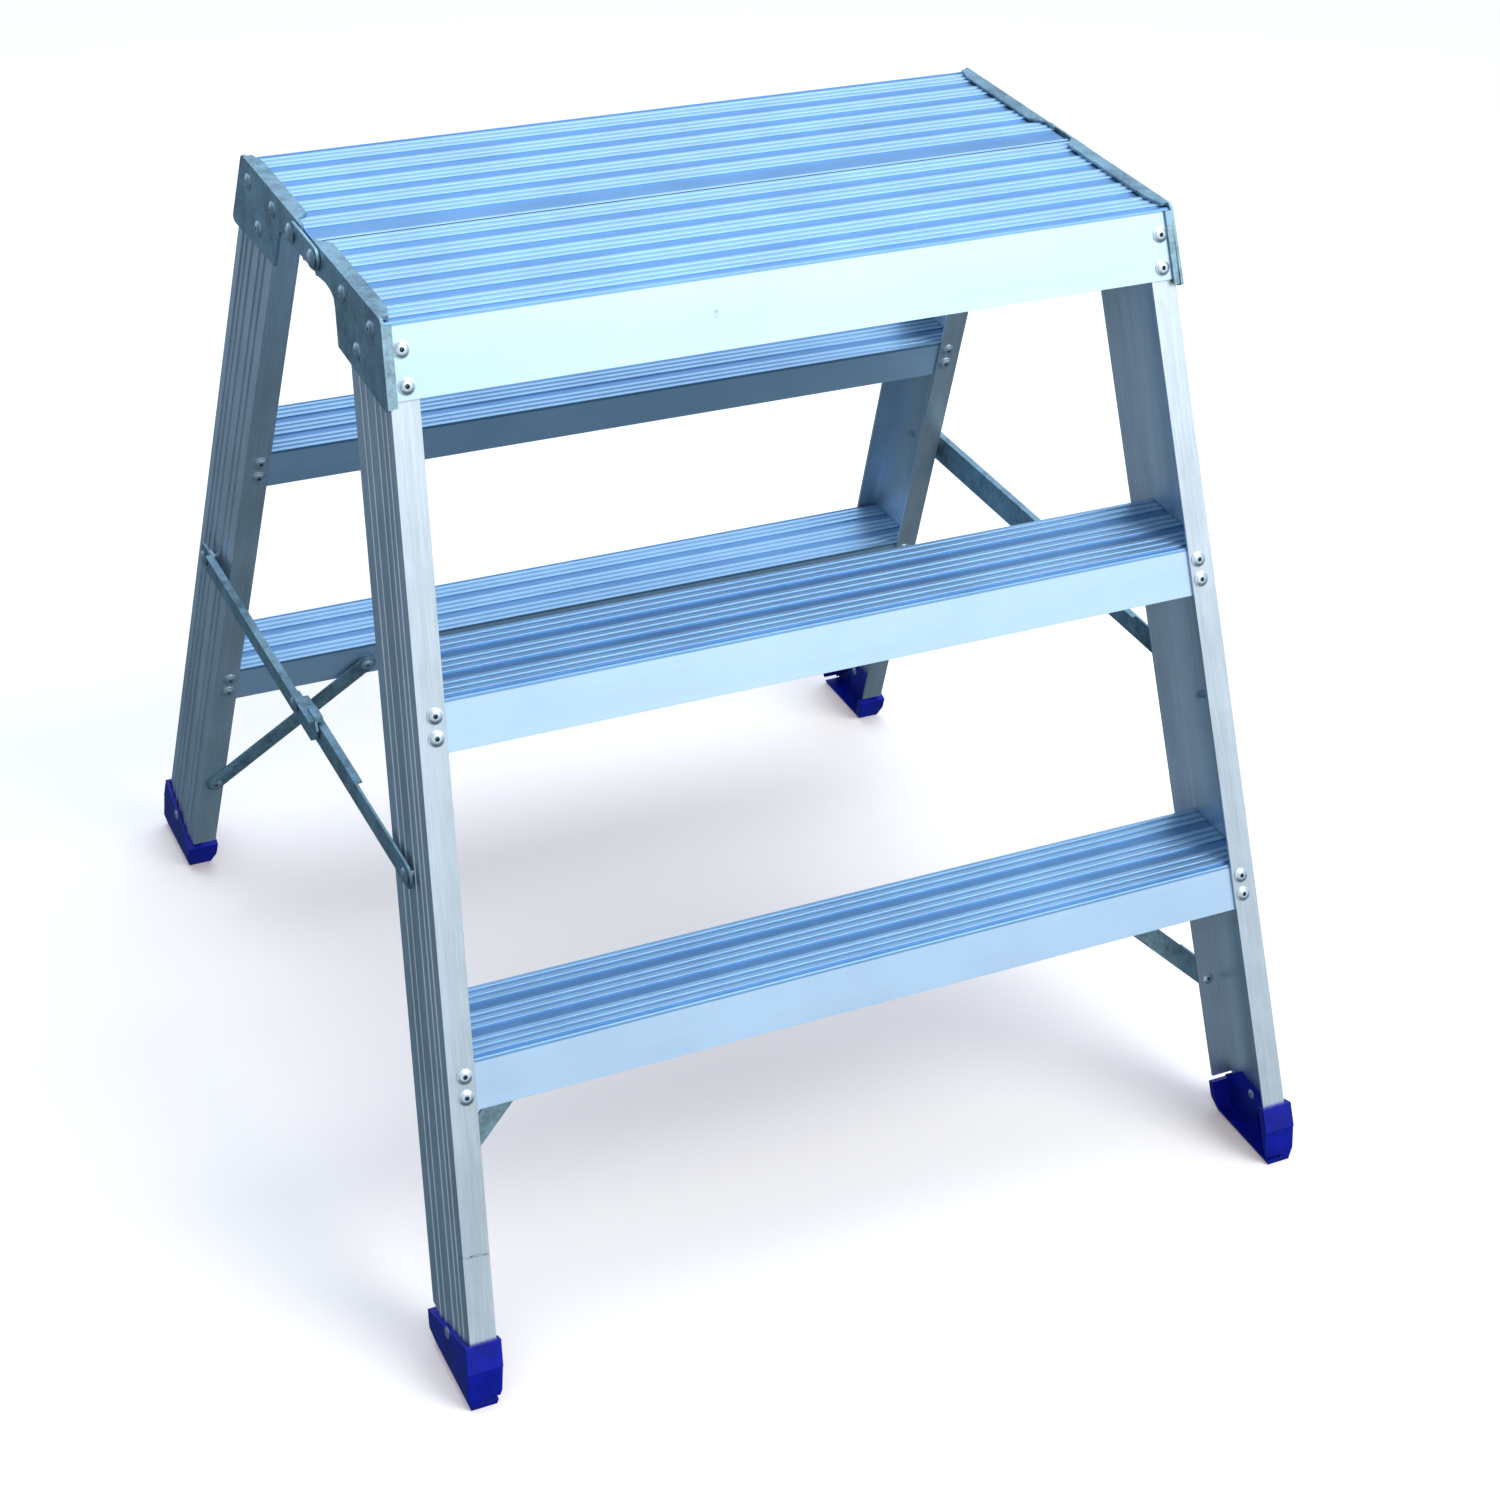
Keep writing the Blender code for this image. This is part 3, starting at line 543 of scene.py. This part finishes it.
def standing(place, normal, scale=1.0, rise=1.0):
    turn = UP.rotation_difference(normal).to_matrix().to_4x4()
    size = Matrix.Diagonal((scale, scale, scale * rise, 1))
    return Matrix.Translation(place - normal * RIVET_SINK) @ turn @ size


def rivet_row(name, head, stands, body):
    """Copies of a head, joined into one row that rides with a body."""
    made = []
    for matrix in stands:
        rivet = head.copy()
        rivet.data = head.data.copy()
        rivet.data.transform(matrix)
        bpy.context.scene.collection.objects.link(rivet)
        made.append(rivet)
    bpy.ops.object.select_all(action="DESELECT")
    for rivet in made:
        rivet.select_set(True)
    bpy.context.view_layer.objects.active = made[0]
    bpy.ops.object.join()
    made[0].name = name
    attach(made[0], body)
    return made[0]


def skirt_rivets(frame_name):
    """On the planks' outer skirts, at both ends."""
    node = "platform_" + frame_name
    low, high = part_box(node)
    stands = []
    for side in SIDES.values():
        for depth in SKIRT_RIVET_DEPTHS:
            start = (side * (high.x - SKIRT_RIVET_END), FRAMES[frame_name] * OUTSIDE, high.z - depth)
            stands.append(standing(*hit(node, start, (0, -FRAMES[frame_name], 0))))
    return stands


def tread_rivets(side_name, frame_name):
    """Through both flanges of a stile into the treads' skirts."""
    side = SIDES[side_name]
    way = FRAMES[frame_name]
    node = "stile_" + frame_name + "_" + side_name
    stands = []
    for level in ("middle", "lower"):
        tread = "tread_" + level + "_" + frame_name
        low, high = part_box(tread)
        for depth in TREAD_RIVET_DEPTHS:
            height = high.z - depth
            middle = (low.y + high.y) / 2
            web, _ = hit(node, (side * OUTSIDE, middle, height), (-side, 0, 0))
            across = web.x - side * TREAD_RIVET_FROM_WEB
            stands.append(standing(*hit(node, (across, way * OUTSIDE, height), (0, -way, 0))))
            stands.append(standing(*hit(node, (across, 0, height), (0, way, 0))))
    return stands


def gusset_rivets(side_name, frame_name):
    side = SIDES[side_name]
    node = "gusset_" + frame_name + "_" + side_name
    stands = []
    for out, depth in GUSSET_RIVETS:
        start = (side * OUTSIDE, FRAMES[frame_name] * out, HEIGHT - depth)
        stands.append(standing(*hit(node, start, (-side, 0, 0))))
    return stands


def brace_rivets(side_name, frame_name):
    """At both ends of a knee brace, with the tail inside the stile's channel."""
    way = FRAMES[frame_name]
    node = "knee_brace_" + frame_name + "_" + side_name
    low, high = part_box(node)
    inner, outer = sorted((abs(low.x), abs(high.x)))
    side = SIDES[side_name]
    stands = []
    for across, height in ((outer, low.z + BRACE_RIVET_END), (inner, high.z - BRACE_RIVET_END)):
        reach = side * (across + (BRACE_RIVET_END if across == inner else -BRACE_RIVET_END))
        stands.append(standing(*hit(node, (reach, 0, height), (0, way, 0))))
    stile = "stile_" + frame_name + "_" + side_name
    x = side * (outer - BRACE_RIVET_END)
    z = low.z + BRACE_RIVET_END
    face, _ = hit(stile, (x, 0, z), (0, way, 0))
    place, normal = hit(stile, (x, face.y + way * CHANNEL_REACH, z), (0, -way, 0))
    stands.append(standing(place, normal, BRACE_TAIL_SCALE))
    return stands


def foot_rivets(side_name, frame_name):
    """Through a foot's web side, with the tail inside."""
    side = SIDES[side_name]
    node = "foot_" + frame_name + "_" + side_name
    low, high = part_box(node)
    y = (low.y + high.y) / 2 - FRAMES[frame_name] * FOOT_RIVET_BACK
    z = high.z - FOOT_RIVET_DROP
    outside = standing(*hit(node, (side * OUTSIDE, y, z), (-side, 0, 0)), *FOOT_HEAD)
    inside = standing(*hit(node, (0, y, z), (side, 0, 0)), FOOT_TAIL_SCALE)
    return [outside, inside]


class LADDER_OT_stiles(bpy.types.Operator):
    """Finish the four ribbed channels."""

    bl_idname = "ladder.stiles"
    bl_label = "Stiles"

    def execute(self, context):
        shade = tuple(context.scene.ladder_colours.stile)
        for frame_name in FRAMES:
            for side_name in SIDES:
                name = "stile_" + frame_name + "_" + side_name
                spot = STILE_MARK if name == "stile_front_left" else None
                axes = stile_axes(side_name, frame_name)
                metal = extruded_metal(name + "_metal", *axes, tone(shade, 0.72), shade, spot=spot)
                rounded_copy(name, context.scene.ladder_sizes.section_edge, metal)
        return {"FINISHED"}


def finish_ribbed(name, context, spot=None):
    """Planks and treads: paler ribs over a darker ground, partly wear and partly painted highlight and
    painted shade, and skirts painted paler as painted light.
    """
    colours = context.scene.ladder_colours
    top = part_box(name)[1].z
    metal = ribbed_metal(name + "_metal", top, colours, spot)
    rounded_copy(name, context.scene.ladder_sizes.section_edge, metal)


def ribbed_metal(name, top, colours, spot):
    """Extrusion whose rib tops, ground and skirts have their own tones: paler rib tops and a darker
    ground, partly wear and partly painted highlight and painted shade, and paler skirts as painted
    light.
    """
    finish = Finish(name)
    fine, broad = drawn_lines(finish, (1, 0, 0), (0, 1, 0), UP)
    cloud = finish.noise(finish.place(), 14.0, 5.0, 0.62)
    speck = finish.noise(finish.place(), 1400.0, 2.0, 0.5)
    level = (fine * 0.3 + broad * 0.25 + cloud * 0.5).smooth(0.3, 0.76)
    height = finish.along(UP)
    # Rib tops get the paler rib tone (partly wear, partly painted highlight); the ground between them
    # gets the darker valley tone (partly painted shade).
    worn = height.smooth(top - 0.9 * MM, top - 0.3 * MM)
    # Everything from about 3 mm below the top, skirts and undersides, gets the paler tone: painted light
    # on the upright faces.
    lit_skirt = 1 - height.smooth(top - 3.4 * MM, top - 2.6 * MM)
    ground = finish.mix(level, tone(colours.valley, 0.86), tone(colours.valley, 1.1))
    ribs = finish.mix(level, tone(colours.rib, 0.86), tone(colours.rib, 1.06))
    lit_skirt_tone = finish.mix(level, tone(colours.lit_skirt, 0.93), tone(colours.lit_skirt, 1.05))
    base = finish.mix(worn, ground, ribs)
    base = finish.mix(lit_skirt, base, lit_skirt_tone)
    scratch = fine.smooth(0.66, 0.74) * cloud.smooth(0.5, 0.62)
    base = finish.mix(scratch * 0.1, base, tone(colours.rib, 1.15))
    if spot:
        base = finish.mix(mark(finish, spot, (1, 0, 0), UP), base, SKIRT_SCUFF)
    rough = 0.36 + fine * 0.08 + cloud * 0.1 - scratch * 0.05
    bump = finish.bump(fine * 0.7 + speck * 0.3, 0.1, 0.1 * MM)
    return finish.shader(Base_Color=base, Metallic=0.85, Roughness=rough, Normal=bump)


class LADDER_OT_planks(bpy.types.Operator):
    """Finish the two planks of the platform."""

    bl_idname = "ladder.planks"
    bl_label = "Planks"

    def execute(self, context):
        finish_ribbed("platform_front", context, SKIRT_MARK)
        finish_ribbed("platform_rear", context)
        return {"FINISHED"}


class LADDER_OT_treads(bpy.types.Operator):
    """Finish the four treads."""

    bl_idname = "ladder.treads"
    bl_label = "Treads"

    def execute(self, context):
        for frame_name in FRAMES:
            for level in ("middle", "lower"):
                finish_ribbed("tread_" + level + "_" + frame_name, context)
        return {"FINISHED"}


def finish_plated(prefixes, context, shade=1.0):
    # The plated steel tone is partly painted shade: darker so the side plates stay dark.
    zinc_with_shade = tone(context.scene.ladder_colours.zinc_with_shade, shade)
    for name in sorted(frame["nodes"]):
        if name.startswith(prefixes):
            metal = plated_steel(name + "_plate", zinc_with_shade)
            rounded_copy(name, context.scene.ladder_sizes.plate_edge, metal)


class LADDER_OT_gussets(bpy.types.Operator):
    """Finish the brackets that join planks, stiles and hinge."""

    bl_idname = "ladder.gussets"
    bl_label = "Gussets"

    def execute(self, context):
        finish_plated(("gusset_",), context)
        return {"FINISHED"}


class LADDER_OT_hinge(bpy.types.Operator):
    """Finish the links and the pins of the hinge."""

    bl_idname = "ladder.hinge"
    bl_label = "Hinge"

    def execute(self, context):
        finish_plated(("hinge_link_",), context, 1.1)
        metal = head_metal("hinge_pin_metal", context.scene.ladder_colours.rivet)
        for name in sorted(frame["nodes"]):
            if name.startswith("hinge_pin_"):
                coat(name, metal)
        return {"FINISHED"}


class LADDER_OT_spreaders(bpy.types.Operator):
    """Finish the spreader arms and their pivots."""

    bl_idname = "ladder.spreaders"
    bl_label = "Spreaders"

    def execute(self, context):
        finish_plated(("spreader_",), context, 1.05)
        metal = head_metal("pivot_metal", tone(context.scene.ladder_colours.rivet, 0.8))
        for name in sorted(frame["nodes"]):
            if name.startswith("pivot_"):
                coat(name, metal)
        return {"FINISHED"}


class LADDER_OT_braces(bpy.types.Operator):
    """Finish the knee braces under the lower treads."""

    bl_idname = "ladder.braces"
    bl_label = "Knee braces"

    def execute(self, context):
        finish_plated(("knee_brace_",), context)
        return {"FINISHED"}


class LADDER_OT_feet(bpy.types.Operator):
    """Finish the moulded feet."""

    bl_idname = "ladder.feet"
    bl_label = "Feet"

    def execute(self, context):
        plastic = moulded_plastic("foot_plastic", tuple(context.scene.ladder_colours.plastic))
        for name in sorted(frame["nodes"]):
            if name.startswith("foot_"):
                rounded_copy(name, context.scene.ladder_sizes.foot_edge, plastic)
        return {"FINISHED"}


class LADDER_OT_rivets(bpy.types.Operator):
    """Set the rivet heads on planks, stiles, gussets, braces and feet."""

    bl_idname = "ladder.rivets"
    bl_label = "Rivets"

    def execute(self, context):
        head = rivet_head(context.scene.ladder_sizes, context.scene.ladder_colours)
        for frame_name in FRAMES:
            body = frame_name + "_frame"
            rivet_row("rivets_platform_" + frame_name, head, skirt_rivets(frame_name), body)
            for side_name in SIDES:
                ending = "_" + frame_name + "_" + side_name
                rivet_row("rivets_treads" + ending, head, tread_rivets(side_name, frame_name), body)
                rivet_row("rivets_gusset" + ending, head, gusset_rivets(side_name, frame_name), body)
                rivet_row("rivets_brace" + ending, head, brace_rivets(side_name, frame_name), body)
                rivet_row("rivets_foot" + ending, head, foot_rivets(side_name, frame_name), body)
        bpy.data.objects.remove(head, do_unlink=True)
        return {"FINISHED"}


def area_light(name, place, size, power, tint):
    """A round soft light, aimed at the middle of the ladder."""
    light = bpy.data.lights.new(name, "AREA")
    light.shape = "DISK"
    light.size = size
    light.energy = power
    light.color = tint
    lamp = bpy.data.objects.new(name, light)
    lamp.location = place
    lamp.rotation_euler = (LIT_POINT - Vector(place)).to_track_quat("-Z", "Y").to_euler()
    bpy.context.scene.collection.objects.link(lamp)


def soft_surroundings():
    """A bright front, a blue back, a dim left and a dim ground, all without edges."""
    world = bpy.data.worlds.new("surroundings")
    bpy.context.scene.world = world
    world.use_nodes = True
    finish = Finish("", world.node_tree)
    view = finish.node("ShaderNodeTexCoord").outputs["Generated"]
    parts = finish.node("ShaderNodeSeparateXYZ", None, {0: view})
    front = (finish.wire(parts.outputs[1]) * -1).smooth(0.1, 0.9)
    left = (finish.wire(parts.outputs[0]) * -1).smooth(0.35, 0.95)
    rise = finish.wire(parts.outputs[2]).smooth(-0.5, 0.05)
    sky = finish.mix(front, SKY_BEHIND, SKY_IN_FRONT)
    sky = finish.mix(left, sky, DIM_LEFT)
    light = finish.mix(rise, DIM_GROUND, sky)
    backdrop = world.node_tree.nodes["Background"]
    finish.feed(backdrop.inputs["Color"], light)
    backdrop.inputs["Strength"].default_value = 1.0


def pale_floor(shade):
    bpy.ops.object.select_all(action="DESELECT")
    bpy.ops.mesh.primitive_plane_add(size=FLOOR_SIZE, location=(0, 0, FLOOR_DROP))
    floor = bpy.context.view_layer.objects.active
    floor.name = "floor"
    finish = Finish("floor_paint")
    grain = finish.noise(finish.place(), 30.0, 3.0)
    base = finish.mix(grain, tone(shade, 0.99), tone(shade, 1.0))
    paint = finish.shader(
        Base_Color=base, Roughness=FLOOR_ROUGHNESS,
        Emission_Color=FLOOR_GLOW, Emission_Strength=FLOOR_GLOW_STRENGTH,
    )
    floor.data.materials.append(paint)
    floor.visible_glossy = False
    floor.visible_diffuse = False


def make_camera():
    camera = bpy.data.cameras.new("camera")
    camera.sensor_width = 36
    camera.lens = CAMERA_LENS
    camera.shift_x, camera.shift_y = CAMERA_SHIFT
    holder = bpy.data.objects.new("camera", camera)
    turn = Matrix(CAMERA_AXES).transposed()
    holder.matrix_world = Matrix.Translation(Vector(CAMERA_PLACE) * MM) @ turn.to_4x4()
    bpy.context.scene.collection.objects.link(holder)
    bpy.context.scene.camera = holder


class LADDER_OT_stage(bpy.types.Operator):
    """Set the floor, the lights and the camera."""

    bl_idname = "ladder.stage"
    bl_label = "Stage"

    def execute(self, context):
        pale_floor(tuple(context.scene.ladder_colours.floor))
        soft_surroundings()
        for lamp in LAMPS:
            area_light(*lamp)
        make_camera()
        context.scene.view_settings.view_transform = "Standard"
        return {"FINISHED"}


OPERATORS = (
    LADDER_OT_stiles,
    LADDER_OT_planks,
    LADDER_OT_treads,
    LADDER_OT_gussets,
    LADDER_OT_hinge,
    LADDER_OT_spreaders,
    LADDER_OT_braces,
    LADDER_OT_feet,
    LADDER_OT_rivets,
    LADDER_OT_stage,
)


class LADDER_PT_sidebar(bpy.types.Panel):
    """Lists the ladder's pieces, sizes and colours."""

    bl_idname = "LADDER_PT_sidebar"
    bl_label = "Step Ladder"
    bl_space_type = "VIEW_3D"
    bl_region_type = "UI"
    bl_category = "Ladder"

    def draw(self, context):
        for operator in OPERATORS:
            self.layout.operator(operator.bl_idname)
        for group in (context.scene.ladder_sizes, context.scene.ladder_colours):
            for name in group.__annotations__:
                self.layout.prop(group, name)


def register():
    for item in (LadderSizes, LadderColours, *OPERATORS, LADDER_PT_sidebar):
        bpy.utils.register_class(item)
    bpy.types.Scene.ladder_sizes = PointerProperty(type=LadderSizes)
    bpy.types.Scene.ladder_colours = PointerProperty(type=LadderColours)


def unregister():
    del bpy.types.Scene.ladder_colours
    del bpy.types.Scene.ladder_sizes
    for item in reversed((LadderSizes, LadderColours, *OPERATORS, LADDER_PT_sidebar)):
        bpy.utils.unregister_class(item)


def main():
    register()
    for operator in OPERATORS:
        category, name = operator.bl_idname.split(".")
        getattr(getattr(bpy.ops, category), name)()


if __name__ == "__main__":
    main()
